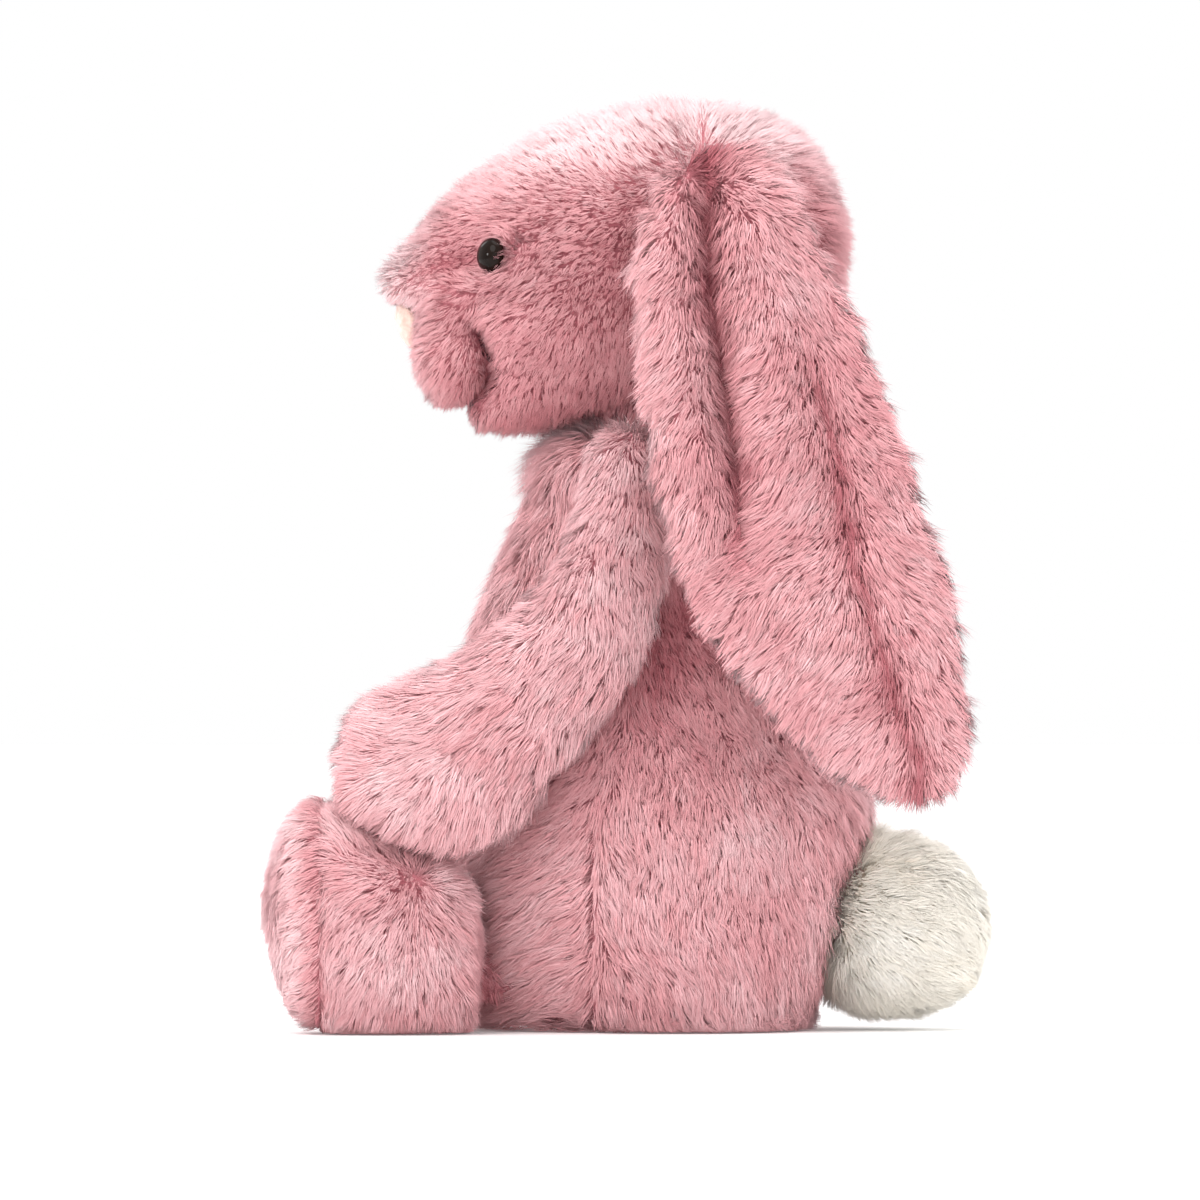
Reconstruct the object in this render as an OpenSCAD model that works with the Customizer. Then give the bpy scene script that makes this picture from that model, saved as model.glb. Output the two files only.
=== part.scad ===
/* [Overall] */
// Thickness of the plush cloth shells
cloth_t = 1.6; // [1.2:0.1:2]
// Clearance between sewn shells and what lies inside them
gap = 0.5; // [0.4:0.1:0.8]

/* [Head] */
// Height of the neck ball centre above the seat
neck_z = 152; // [151:0.5:153]
// Radius of the stuffed neck ball
neck_r = 16; // [15:0.5:16.5]
// Clearance between the neck ball and the cups around it
neck_gap = 0.5; // [0.4:0.1:0.8]

/* [Face] */
// Diameter of each bead eye
eye_d = 9; // [8:0.5:9.5]
// Diameter of the shank behind each eye
shank_d = 3; // [2.5:0.1:3.2]
// Length of the shank behind each eye
shank_l = 8; // [7:0.5:9]
// Diameter of the locking washer on each shank
washer_d = 11; // [9:0.5:12]
// Width of the nose pad
nose_w = 16; // [13:0.5:17]
// Height of the nose pad
nose_h = 13; // [11:0.5:14]

/* [Ears] */
// Thickness of one plush layer of an ear
ear_layer = 5; // [4:0.25:5.25]
// Gap between the two layers of an ear
ear_seam = 0.3; // [0.3:0.1:0.6]

/* [Arms] */
// Distance from the middle plane to the middle of each arm
arm_x = 40; // [39.75:0.25:40.25]
// Half thickness of each arm, seen from the front
arm_half = 10.5; // [9.5:0.25:10.75]

/* [Legs] */
// Distance from the middle plane to the middle of each foot
foot_x = 33; // [32:0.5:34.5]
// Thickness of the sole panel
sole_t = 2; // [1.6:0.1:2.2]

/* [Tail] */
// Radius of the pompom tail
tail_r = 21; // [18:0.5:21.5]
// Height of the tail centre
tail_z = 27.5; // [25:0.5:32]

/* [Hidden] */

rose = "#cf8791";
deep_rose = "#b96a78";
cream = "#f2eee4";
white_fibre = "#f4f4f0";

neck = [0, 4, neck_z];
tail_y = 89 - tail_r;
tail_lean = 12;
tail_root = 14.2;

// ---- small helpers ----
function flat(l) = [for (a = l) each a];
function unit(v) = v / norm(v);
function pow_s(x, p) = sign(x) * pow(abs(x), p);

// Catmull-Rom value between b and c
function cr(a, b, c, d, t) =
  0.5 * ((2 * b) + (c - a) * t + (2 * a - 5 * b + 4 * c - d) * t * t
         + (3 * b - a - 3 * c + d) * t * t * t);

// Each pair of rows in a table gets m - 1 smooth rows between them
function smooth(tb, m) = let(n = len(tb))
  [for (i = [0:n - 2]) each
     [for (k = [0:m - 1])
        cr(tb[max(i - 1, 0)], tb[i], tb[i + 1], tb[min(i + 2, n - 1)], k / m)],
   tb[n - 1]];

// A closed skin through a stack of rings with n points each
module loft(rings) {
  n = len(rings[0]);
  k = len(rings);
  lo = k * n;
  c0 = [for (j = [0:2]) let(v = [for (p = rings[0]) p[j]]) v * [for (i = v) 1] / n];
  c1 = [for (j = [0:2]) let(v = [for (p = rings[k - 1]) p[j]]) v * [for (i = v) 1] / n];
  polyhedron(
    points = concat(flat(rings), [c0, c1]),
    faces = concat(
      [for (i = [0:n - 1]) [lo, i, (i + 1) % n]],
      [for (r = [0:k - 2]) for (i = [0:n - 1]) each
        [[r * n + i, (r + 1) * n + i, (r + 1) * n + (i + 1) % n],
         [r * n + i, (r + 1) * n + (i + 1) % n, r * n + (i + 1) % n]]],
      [for (i = [0:n - 1]) [lo + 1, (k - 1) * n + (i + 1) % n, (k - 1) * n + i]]));
}

// Level ring, wound anticlockwise seen from above
function ring_z(z, yf, yb, hw, n, p) =
  [for (i = [0:n - 1]) let(a = 360 * i / n)
     [hw * pow_s(cos(a), p), (yf + yb) / 2 + (yb - yf) / 2 * pow_s(sin(a), p), z]];

// Upright ring across the body, for shapes that run front to back
function ring_y(x, y, zb, zt, hw, n, p) =
  [for (i = [0:n - 1]) let(a = 360 * i / n)
     [x - hw * pow_s(cos(a), p), y, (zb + zt) / 2 + (zt - zb) / 2 * pow_s(sin(a), p)]];

// ---- torso: height, front, back, half width ----
torso_tb = [
  [0, -17, 43, 31], [4, -23.5, 46, 36], [14, -29.5, 50, 41], [30, -33, 53, 43],
  [50, -37.5, 57.5, 42.5], [62, -41, 56.5, 40], [76, -43, 52, 35.5], [100, -40, 41, 28.8],
  [124, -31, 30.5, 25.5], [136, -24, 24, 22.5], [143, -18, 20, 18], [147, -11, 15, 11.5]];

// pull moves a shell's inner face in by that much
module torso_shape(pull) {
  tb = smooth(torso_tb, 2);
  h = torso_tb[len(torso_tb) - 1][0];
  difference() {
    loft([for (r = tb)
      ring_z(pull + r[0] * (h - 2 * pull) / h, r[1] + pull, r[2] - pull, r[3] - pull, 24, 0.92)]);
    translate(neck) sphere(r = neck_r + neck_gap + pull, $fn = 64);
  }
}

module torso_cover() color(rose)
  difference() {
    torso_shape(0);
    torso_shape(cloth_t);
  }

pouch = [0, 12, 22];
pouch_r = 15;

module torso_stuffing() color(white_fibre)
  difference() {
    torso_shape(cloth_t + gap);
    translate(pouch) sphere(r = pouch_r + 1.6, $fn = 64);
  }

// A calico ball of pellets low in the seat keeps the toy upright
module bean_bag_pouch() color("#e9e2d2")
  translate(pouch) difference() {
    sphere(r = pouch_r, $fn = 64);
    sphere(r = pouch_r - 1, $fn = 64);
  }

module bean_pellets() color("#d9d9dc")
  translate(pouch) sphere(r = pouch_r - 1.5, $fn = 64);

// Blank woven tab held in the right side seam, low on the seat
module care_label() color("#f6f6f2")
  translate([-53, 11.7, 13]) cube([11.2, 0.6, 17]);

// ---- neck ----
module neck_stuffing() color(white_fibre) translate(neck) sphere(r = neck_r, $fn = 64);

// Gathering thread drawn round the neck seam
module neck_thread() color(deep_rose)
  translate([neck[0], neck[1], neck_z - 4.5])
    rotate_extrude($fn = 64) translate([sqrt(neck_r * neck_r - 20.25) + 0.8, 0]) circle(r = 0.6, $fn = 24);

// ---- head: front-to-back place, underside, top, half width ----
head_tb = [
  [-60, 181, 190.5, 8], [-56.5, 171, 197.5, 16], [-52, 163, 202.5, 21.5], [-46, 157, 208, 25.5],
  [-36, 152.4, 216, 31], [-22, 151.4, 225, 36], [-6, 154, 229.5, 39], [10, 157, 232, 40],
  [26, 160.5, 230.5, 38.5], [38, 166, 226, 34], [47, 174, 217.5, 26.5], [51.5, 182, 208.5, 17.5],
  [53.5, 190, 200, 8]];

module head_shape(pull) {
  tb = smooth(head_tb, 2);
  a = head_tb[0][0];
  b = head_tb[len(head_tb) - 1][0];
  difference() {
    loft([for (r = tb)
      ring_y(0, a + pull + (r[0] - a) * (b - a - 2 * pull) / (b - a), r[1] + pull, r[2] - pull,
             r[3] - pull, 24, 0.95)]);
    translate(neck) sphere(r = neck_r + neck_gap + pull, $fn = 64);
  }
}

// Eye seat on the left of the face and the way the eye looks
eye_at = [29.6, -33.4, 194.5];
eye_dir = unit([0.78, -0.6, 0.17]);
eye_turn = [0, acos(eye_dir[2]), atan2(eye_dir[1], eye_dir[0])];

module at_eye(side) mirror([side < 0 ? 1 : 0, 0, 0]) translate(eye_at) rotate(eye_turn) children();

module head_cover() color(rose)
  difference() {
    head_shape(0);
    head_shape(cloth_t);
    for (s = [-1, 1]) at_eye(s) {
      translate([0, 0, -0.6]) cylinder(d = eye_d + 0.8, h = 12, $fn = 48);
      translate([0, 0, -8]) cylinder(d = shank_d + 0.1, h = 12, $fn = 32);
    }
  }

module head_stuffing() color(white_fibre)
  difference() {
    head_shape(cloth_t + gap);
    for (s = [-1, 1]) at_eye(s)
      translate([0, 0, -shank_l - 2]) cylinder(d = washer_d + 2, h = shank_l + 14, $fn = 48);
  }

// Domed bead with its shank: one revolved solid
module bead_eye(side) color("#1d1210")
  at_eye(side) rotate_extrude($fn = 64)
    polygon(concat(
      [[0, -shank_l - 0.4]], [[shank_d / 2, -shank_l - 0.4]], [[shank_d / 2, -0.4]],
      [for (a = [0:6:84]) [eye_d / 2 * cos(a), -0.4 + 3.4 * sin(a)]], [[0, 3]]));

module left_eye() bead_eye(1);
module right_eye() bead_eye(-1);

// Washer pressed over the shank behind the cloth
module eye_washer(side) color("#e8e8e4")
  at_eye(side) translate([0, 0, -shank_l + 1.2]) difference() {
    cylinder(d = washer_d, h = 1.2, $fn = 48);
    translate([0, 0, -1]) cylinder(d = shank_d + 0.04, h = 4, $fn = 32);
  }

module left_eye_washer() eye_washer(1);
module right_eye_washer() eye_washer(-1);

// Oval velour pad sewn on the tip of the muzzle
module nose_pad() color("#ecd8cc")
  translate([0, -57.19, 175.8]) rotate([20, 0, 0])
    loft([for (r = [[0, 0.99], [-0.7, 1], [-1.5, 0.9], [-2.2, 0.68], [-2.6, 0.35], [-2.7, 0.12]])
      [for (i = [0:23]) let(a = 360 * i / 24)
        [nose_w / 2 * r[1] * cos(a), r[0] - 1, nose_h / 2 * r[1] * sin(a)]]]);

// Thread that draws in the mouth crease, from cheek to cheek under the muzzle
mouth_tb = [
  [28.9, -37.6, 175], [28.6, -38.4, 169], [26.6, -39.6, 163], [22, -41.4, 158.2],
  [14, -42.6, 155.6], [5, -43, 154.7], [-5, -43, 154.7], [-14, -42.6, 155.6],
  [-22, -41.4, 158.2], [-26.6, -39.6, 163], [-28.6, -38.4, 169], [-28.9, -37.6, 175]];

// Tube of radius r along points, its rings square to the way it runs
module tube(pts, r, n) {
  k = len(pts);
  loft([for (i = [0:k - 1])
    let(t = unit(pts[min(i + 1, k - 1)] - pts[max(i - 1, 0)]),
        u = unit(cross([0, 1, 0], t)),
        v = cross(t, u))
    [for (j = [0:n - 1]) let(a = 360 * j / n) pts[i] + r * cos(a) * u + r * sin(a) * v]]);
}

module mouth_thread() color("#7d3f4c") tube(smooth(mouth_tb, 2), 0.55, 8);

// ---- ears: height, front edge, back edge, middle distance from the middle plane ----
ear_tb = [
  [219, 16, 33, 35.8], [214, 8, 38, 40.4], [207, 5, 42, 44.6], [195, 1.5, 47.5, 48.4],
  [177, 1.5, 54, 51.7], [158, 3, 61, 55], [134, 6.5, 70, 58.2], [116, 11.5, 76, 59.4],
  [103, 17, 79, 59.8], [89, 29, 81.3, 60], [73, 44, 82, 60], [66, 54, 80, 60], [61.5, 63, 75, 60]];

// side 1 is the left ear; out 1 is the layer that shows and out -1 the layer that faces the body
module ear_layer_shape(side, out) {
  tb = smooth(ear_tb, 2);
  mirror([side < 0 ? 1 : 0, 0, 0])
    loft([for (j = [0:len(tb) - 1]) let(r = tb[len(tb) - 1 - j],
        th = min(ear_layer, 1.2 + 0.34 * (r[2] - r[1]) / 2))
      [for (i = [0:15]) let(a = 360 * i / 16, s = pow_s(sin(a), 0.8))
        [r[3] + out * (ear_seam / 2 + th / 2) - th / 2 * s,
         (r[1] + r[2]) / 2 + (r[2] - r[1]) / 2 * cos(a)
           * (out * s > 0 ? 1 : 0.97), r[0]]]]);
}

module left_ear_outer() color(rose) ear_layer_shape(1, 1);
module left_ear_inner() color(deep_rose) ear_layer_shape(1, -1);
module right_ear_outer() color(rose) ear_layer_shape(-1, 1);
module right_ear_inner() color(deep_rose) ear_layer_shape(-1, -1);

// ---- arms: front-to-back place, height, radius in the side view, distance out, thickness share ----
arm_tb = [
  [0.8, 149.5, 3, -11.5, 0.42], [0.6, 147.5, 6, -10.5, 0.6], [0.4, 142, 9, -7.5, 0.8],
  [-0.8, 132, 11.8, -3, 0.95], [-4.8, 116, 15.4, 0.6, 1], [-11.6, 100.8, 17.8, 2, 1.02],
  [-26.8, 83.2, 20.8, 3, 1.04], [-42.5, 72, 21.8, 3, 1.04], [-54, 68.6, 20.6, 2.4, 1.02],
  [-63, 68.4, 17, 1.2, 0.94], [-69.2, 68.6, 11.5, 0.2, 0.74], [-72.4, 68.6, 4.5, 0, 0.36]];

module arm_shape(side, pull) {
  tb = smooth(arm_tb, 2);
  k = len(tb);
  mirror([side < 0 ? 1 : 0, 0, 0])
    loft([for (i = [0:k - 1])
      let(r = tb[i],
          a = tb[max(i - 1, 0)], b = tb[min(i + 1, k - 1)],
          t = unit([b[3] - a[3], b[0] - a[0], b[1] - a[1]]),
          u = unit(cross(cross(t, [1, 0, 0]), t)),
          v = cross(t, u),
          c = [arm_x + r[3], r[0], r[1]] + t * pull * (1 - 2 * i / (k - 1)),
          ru = max(arm_half * r[4] - pull, 0.8), rv = max(r[2] - pull, 0.8))
      [for (j = [0:19]) let(w = 360 * j / 20)
        c + ru * pow_s(cos(w), 0.92) * u + rv * pow_s(sin(w), 0.92) * v]]);
}

module arm_cover(side) color(rose)
  difference() { arm_shape(side, 0); arm_shape(side, cloth_t); }
module arm_stuffing(side) color(white_fibre) arm_shape(side, cloth_t + gap);

module left_arm_cover() arm_cover(1);
module left_arm_stuffing() arm_stuffing(1);
module right_arm_cover() arm_cover(-1);
module right_arm_stuffing() arm_stuffing(-1);

// ---- legs: front-to-back place, underside, top, half width, step towards the middle plane ----
sole_y = -89;
leg_tb = [
  [-86.6, 4.5, 52, 17.5, 0], [-83.5, 0.8, 56, 20.8, 0], [-77, 0, 57, 22, 0],
  [-69, 0, 54.5, 22, 0], [-61, 0, 49, 21.5, 0], [-53, 0, 45.6, 20.3, 0], [-46, 0.2, 43, 18, 0.4],
  [-41, 1.2, 38.5, 14.5, 1.6], [-36, 3.5, 30.5, 11.5, 3.4], [-30.5, 6.5, 26, 9.5, 5],
  [-28, 10, 22.5, 6, 5.6], [-27.2, 13, 19.5, 3, 6]];

module leg_shape(side, pull) {
  tb = smooth(leg_tb, 2);
  a = leg_tb[0][0];
  b = leg_tb[len(leg_tb) - 1][0];
  mirror([side < 0 ? 1 : 0, 0, 0])
    loft([for (r = tb)
      ring_y(foot_x - r[4], a + pull + (r[0] - a) * (b - a - 2 * pull) / (b - a), r[1] + pull, r[2] - pull,
             r[3] - pull, 20, 0.85)]);
}

module leg_cover(side) color(rose)
  difference() { leg_shape(side, 0); leg_shape(side, cloth_t); }
module leg_stuffing(side) color(white_fibre) leg_shape(side, cloth_t + gap);

// Oval panel that closes the end of the foot
module sole_panel(side) color("#d9a0a6")
  mirror([side < 0 ? 1 : 0, 0, 0])
    translate([foot_x, sole_y, 28.2]) rotate([-90, 0, 0])
      linear_extrude(height = sole_t)
        polygon([for (i = [0:35]) let(a = 10 * i) [18 * cos(a), 24.5 * sin(a)]]);

module left_leg_cover() leg_cover(1);
module left_leg_stuffing() leg_stuffing(1);
module left_sole_panel() sole_panel(1);
module right_leg_cover() leg_cover(-1);
module right_leg_stuffing() leg_stuffing(-1);
module right_sole_panel() sole_panel(-1);

// ---- tail: a ball with a flat root, leaning with the slope of the back ----
module tail_shape(pull) {
  r = tail_r - pull;
  h = pull - tail_root;
  a0 = asin(h / r);
  translate([0, tail_y, tail_z]) rotate([-90 - tail_lean, 0, 0]) rotate_extrude($fn = 64)
    polygon(concat([[0, h]],
      [for (i = [0:24]) let(a = a0 + (90 - a0) * i / 24) [i == 24 ? 0 : r * cos(a), r * sin(a)]]));
}

module tail_cover() color(cream)
  difference() { tail_shape(0); tail_shape(cloth_t); }
module tail_stuffing() color(white_fibre) tail_shape(cloth_t + gap);

torso_cover();
torso_stuffing();
bean_bag_pouch();
bean_pellets();
care_label();
neck_stuffing();
neck_thread();
head_cover();
head_stuffing();
left_eye();
right_eye();
left_eye_washer();
right_eye_washer();
nose_pad();
mouth_thread();
left_ear_outer();
left_ear_inner();
right_ear_outer();
right_ear_inner();
left_arm_cover();
left_arm_stuffing();
right_arm_cover();
right_arm_stuffing();
left_leg_cover();
left_leg_stuffing();
left_sole_panel();
right_leg_cover();
right_leg_stuffing();
right_sole_panel();
tail_cover();
tail_stuffing();
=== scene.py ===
import bpy
import bmesh
import math
import itertools
import numpy as np
from mathutils import Vector, Matrix


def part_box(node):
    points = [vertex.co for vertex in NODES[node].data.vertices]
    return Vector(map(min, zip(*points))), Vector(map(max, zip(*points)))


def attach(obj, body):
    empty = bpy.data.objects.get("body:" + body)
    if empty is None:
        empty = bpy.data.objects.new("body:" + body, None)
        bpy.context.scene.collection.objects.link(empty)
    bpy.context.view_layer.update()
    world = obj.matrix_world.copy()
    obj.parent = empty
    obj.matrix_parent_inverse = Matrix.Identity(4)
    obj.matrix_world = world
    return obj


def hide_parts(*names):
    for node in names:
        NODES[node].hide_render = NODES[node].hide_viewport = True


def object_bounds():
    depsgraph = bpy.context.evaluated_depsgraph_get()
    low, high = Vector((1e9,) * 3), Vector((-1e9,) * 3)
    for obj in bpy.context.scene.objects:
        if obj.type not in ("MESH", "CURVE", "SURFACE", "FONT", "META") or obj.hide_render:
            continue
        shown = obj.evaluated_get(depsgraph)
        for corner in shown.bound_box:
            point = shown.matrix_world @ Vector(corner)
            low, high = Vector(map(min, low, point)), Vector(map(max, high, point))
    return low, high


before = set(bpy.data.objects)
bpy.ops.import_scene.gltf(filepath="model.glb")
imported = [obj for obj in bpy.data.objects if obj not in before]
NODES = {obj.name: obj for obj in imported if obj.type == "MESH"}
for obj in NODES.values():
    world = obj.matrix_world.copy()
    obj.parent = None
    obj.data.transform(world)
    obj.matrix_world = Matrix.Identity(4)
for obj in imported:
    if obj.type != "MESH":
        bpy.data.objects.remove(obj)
cad_lo, cad_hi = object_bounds()
DENSITY = 1.0
MM = 0.001
scene = bpy.context.scene

# ------------------------------------------------------------------ camera, light, floor
centre = (cad_lo + cad_hi) / 2
aim = Vector((0.0, centre.y - 0.0075, centre.z - 0.0086))
cam_data = bpy.data.cameras.new("camera")
cam = bpy.data.objects.new("camera", cam_data)
scene.collection.objects.link(cam)
DIST, EL = 5.0, math.radians(0.6)
cam.location = aim + Vector((DIST * math.cos(EL), 0.0, DIST * math.sin(EL)))
cam.rotation_euler = (aim - cam.location).to_track_quat("-Z", "Y").to_euler()
cam_data.sensor_width = 36.0
cam_data.lens = 36.0 * DIST / 0.300
cam_data.clip_start, cam_data.clip_end = 0.05, 60.0
scene.camera = cam
scene.view_settings.view_transform = "Standard"
scene.view_settings.look = "None"
scene.view_settings.exposure = 0.0
scene.view_settings.gamma = 1.0


def area(name, loc, size, power, target, colour=(1, 1, 1)):
    d = bpy.data.lights.new(name, "AREA")
    d.shape, d.size, d.energy, d.color = "DISK", size, power, colour
    o = bpy.data.objects.new(name, d)
    scene.collection.objects.link(o)
    o.location = loc
    o.rotation_euler = (Vector(target) - Vector(loc)).to_track_quat("-Z", "Y").to_euler()
    return o


area("key", (1.3, -0.9, 1.7), 1.6, 22.5, (0, 0, 0.12), (1.0, 0.985, 0.97))
area("top", (-0.2, 0.25, 2.0), 1.8, 20.0, (0, 0, 0.1))
area("fill", (1.0, 1.6, 0.7), 1.4, 8.0, (0, 0, 0.12), (0.97, 0.985, 1.0))
area("rim", (-1.2, -1.1, 1.2), 0.9, 9.0, (0, 0, 0.14))
area("catchlight", (0.55, -1.55, 0.50), 0.22, 4.0, (0, -0.03, 0.19))
area("back", (-1.4, 1.3, 0.9), 1.4, 9.0, (0, 0, 0.12))
area("low", (2.1, -0.5, 0.35), 1.5, 4.5, (0, -0.02, 0.13))

world = bpy.data.worlds.new("studio")
scene.world = world
world.use_nodes = True
bg = next(n for n in world.node_tree.nodes if n.type == "BACKGROUND")
bg.inputs["Color"].default_value = (1.0, 1.0, 1.0, 1)
bg.inputs["Strength"].default_value = 1.0  # pale surround, seen as white


# ------------------------------------------------------------------ materials
def base_material(name, colour, rough=0.8, **inputs):
    m = bpy.data.materials.new(name)
    m.use_nodes = True
    p = next(n for n in m.node_tree.nodes if n.type == "BSDF_PRINCIPLED")
    p.inputs["Base Color"].default_value = (*colour, 1)
    p.inputs["Roughness"].default_value = rough
    for k, v in inputs.items():
        p.inputs[k.replace("_", " ")].default_value = v
    return m, m.node_tree, p


def noise(nt, scale, detail=3.0, rough=0.55):
    tc = nt.nodes.new("ShaderNodeTexCoord")
    n = nt.nodes.new("ShaderNodeTexNoise")
    n.inputs["Scale"].default_value = scale
    n.inputs["Detail"].default_value = detail
    n.inputs["Roughness"].default_value = rough
    nt.links.new(tc.outputs["Object"], n.inputs["Vector"])
    return n


def ramp(nt, fac, stops):
    r = nt.nodes.new("ShaderNodeValToRGB")
    while len(r.color_ramp.elements) < len(stops):
        r.color_ramp.elements.new(0.5)
    for e, (at, c) in zip(r.color_ramp.elements, stops):
        e.position, e.color = at, (*c, 1)
    nt.links.new(fac, r.inputs["Fac"])
    return r


def cloth_material(name, dark, light, scale=900.0, rough=0.9, bump=0.4, weave=True, sheen=0.15):
    """Woven or knitted cloth: two crossed thread waves, mottled colour, thread bump."""
    m, nt, p = base_material(name, light, rough)
    p.inputs["Sheen Weight"].default_value = sheen
    p.inputs["Sheen Roughness"].default_value = 0.5
    tc = nt.nodes.new("ShaderNodeTexCoord")
    mottle = noise(nt, 140.0, 4.0)
    col = ramp(nt, mottle.outputs["Fac"], [(0.3, dark), (0.7, light)])
    height = noise(nt, scale, 2.0)
    last = height.outputs["Fac"]
    if weave:
        for axis in ("X", "Z"):
            w = nt.nodes.new("ShaderNodeTexWave")
            w.bands_direction = axis
            w.inputs["Scale"].default_value = scale / 6.0
            w.inputs["Distortion"].default_value = 1.2
            nt.links.new(tc.outputs["Object"], w.inputs["Vector"])
            mx = nt.nodes.new("ShaderNodeMath")
            mx.operation = "MULTIPLY_ADD"
            mx.inputs[1].default_value = 0.5
            nt.links.new(w.outputs["Fac"], mx.inputs[0])
            nt.links.new(last, mx.inputs[2])
            last = mx.outputs[0]
    b = nt.nodes.new("ShaderNodeBump")
    b.inputs["Strength"].default_value = bump
    b.inputs["Distance"].default_value = 0.0004
    nt.links.new(last, b.inputs["Height"])
    nt.links.new(b.outputs["Normal"], p.inputs["Normal"])
    nt.links.new(col.outputs["Color"], p.inputs["Base Color"])
    return m


def lin(r, g, b):
    """sRGB 0..255 to linear"""
    def f(v):
        v /= 255.0
        return v / 12.92 if v <= 0.04045 else ((v + 0.055) / 1.055) ** 2.4
    return (f(r), f(g), f(b))


# fibre shades, from the painted shade of the root to the lighter tip
ROSE = [lin(*c) for c in [(166, 92, 100), (187, 112, 119), (205, 133, 139), (217, 150, 155),
                          (226, 163, 167), (233, 178, 182), (240, 194, 197), (246, 213, 215)]]
CREAM = [lin(*c) for c in [(232, 206, 174), (238, 219, 192), (243, 230, 209), (246, 238, 223),
                           (249, 243, 231), (251, 247, 238)]]


def fibre_set(prefix, shades, rough, sheen, tint):
    out = []
    for i, c in enumerate(shades):
        m, nt, p = base_material(f"{prefix}_{i}", c, rough)
        p.inputs["Specular IOR Level"].default_value = 0.10
        p.inputs["Sheen Weight"].default_value = sheen
        p.inputs["Sheen Roughness"].default_value = 0.4
        p.inputs["Sheen Tint"].default_value = tint
        out.append(m)
    return out


rose_fibres = fibre_set("rose_fibre", ROSE, 0.6, 0.5, (1.0, 0.74, 0.77, 1.0))
cream_fibres = fibre_set("cream_fibre", CREAM, 0.6, 0.4, (1.0, 0.96, 0.90, 1.0))
rose_skin = cloth_material("rose_backing", lin(186, 104, 114), lin(208, 128, 137), 1400.0)
cream_skin = cloth_material("cream_backing", lin(226, 204, 176), lin(240, 226, 206), 1400.0)


# ------------------------------------------------------------------ small maths
def rng(seed):
    return np.random.default_rng(seed)


def unit(v):
    return v / np.maximum(np.linalg.norm(v, axis=-1, keepdims=True), 1e-12)


def smooth01(x, a, b):
    """0 at a, 1 at b, smoothly"""
    t = np.clip((x - a) / (b - a), 0, 1)
    return t * t * (3 - 2 * t)


def waves(P, wavelength, seed, n=9):
    """Smooth noise in about -1..1 from crossed sine waves; P in mm"""
    g = rng(seed)
    k = unit(g.normal(size=(n, 3))) * (2 * math.pi / (wavelength * g.uniform(0.7, 1.4, (n, 1))))
    ph = g.uniform(0, 2 * math.pi, n)
    return np.sin(P @ k.T + ph).sum(1) / math.sqrt(n) * 0.9


def hash3(c, salt):
    c = c.astype(np.uint64)
    h = (c[:, 0] * np.uint64(73856093)) ^ (c[:, 1] * np.uint64(19349663)) ^ (c[:, 2] * np.uint64(83492791))
    h = (h + np.uint64(salt)) * np.uint64(2654435761)
    h ^= h >> np.uint64(13)
    h *= np.uint64(1274126177)
    h ^= h >> np.uint64(16)
    return h


def frac(h):
    return (h & np.uint64(0xFFFFF)).astype(float) / float(0x100000)


def cells(P, size, salt):
    """Which lock each root belongs to: the nearest of a jittered grid of points"""
    q = np.floor(P / size).astype(np.int64) + 4096
    best = np.full(len(P), 1e18)
    ids = np.zeros(len(P), np.uint64)
    for d in itertools.product((-1, 0, 1), repeat=3):
        c = q + np.array(d)
        hx, hy, hz = hash3(c, salt), hash3(c, salt + 17), hash3(c, salt + 51)
        f = (c - 4096 + np.stack([frac(hx), frac(hy), frac(hz)], 1)) * size
        dd = ((P - f) ** 2).sum(1)
        hit = dd < best
        best[hit] = dd[hit]
        ids[hit] = hx[hit]
    return np.unique(ids, return_inverse=True)[1]


def mean_by(ids, v):
    n = ids.max() + 1
    cnt = np.maximum(np.bincount(ids, minlength=n), 1)
    return np.stack([np.bincount(ids, v[:, i], minlength=n) / cnt for i in range(v.shape[1])], 1)


# ------------------------------------------------------------------ meshes in and out of numpy
def mesh_arrays(me):
    V = np.empty(len(me.vertices) * 3)
    me.vertices.foreach_get("co", V)
    V = V.reshape(-1, 3)
    me.calc_loop_triangles()
    T = np.empty(len(me.loop_triangles) * 3, np.int64)
    me.loop_triangles.foreach_get("vertices", T)
    return V, T.reshape(-1, 3)


def vertex_normals(V, T):
    n = np.cross(V[T[:, 1]] - V[T[:, 0]], V[T[:, 2]] - V[T[:, 0]])
    out = np.zeros_like(V)
    for i in range(3):
        for k in range(3):
            out[:, k] += np.bincount(T[:, i], n[:, k], minlength=len(V))
    return unit(out)


def set_coords(me, V):
    me.vertices.foreach_set("co", np.ascontiguousarray(V).ravel())
    me.update()


def new_object(name, me):
    o = bpy.data.objects.new(name, me)
    scene.collection.objects.link(o)
    return o


def applied(o):
    """A new mesh with the object's modifiers applied; the helper object goes"""
    dg = bpy.context.evaluated_depsgraph_get()
    me = bpy.data.meshes.new_from_object(o.evaluated_get(dg), depsgraph=dg)
    old = o.data
    bpy.data.objects.remove(o)
    if old.users == 0:
        bpy.data.meshes.remove(old)
    return me


def outer_shell(node):
    """The outside of a hollow CAD shell as its own mesh"""
    bm = bmesh.new()
    bm.from_mesh(NODES[node].data)
    bmesh.ops.remove_doubles(bm, verts=bm.verts, dist=1e-6)
    bm.verts.ensure_lookup_table()
    left, groups = set(bm.verts), []
    while left:
        todo = [left.pop()]
        got = []
        while todo:
            v = todo.pop()
            got.append(v)
            for e in v.link_edges:
                w = e.other_vert(v)
                if w in left:
                    left.discard(w)
                    todo.append(w)
        groups.append(got)

    def span(g):
        c = np.array([v.co for v in g])
        return float((c.max(0) - c.min(0)).sum())
    groups.sort(key=span)
    for g in groups[:-1]:
        bmesh.ops.delete(bm, geom=g, context="VERTS")
    me = bpy.data.meshes.new(node + "_shell")
    bm.to_mesh(me)
    bm.free()
    return me


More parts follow.
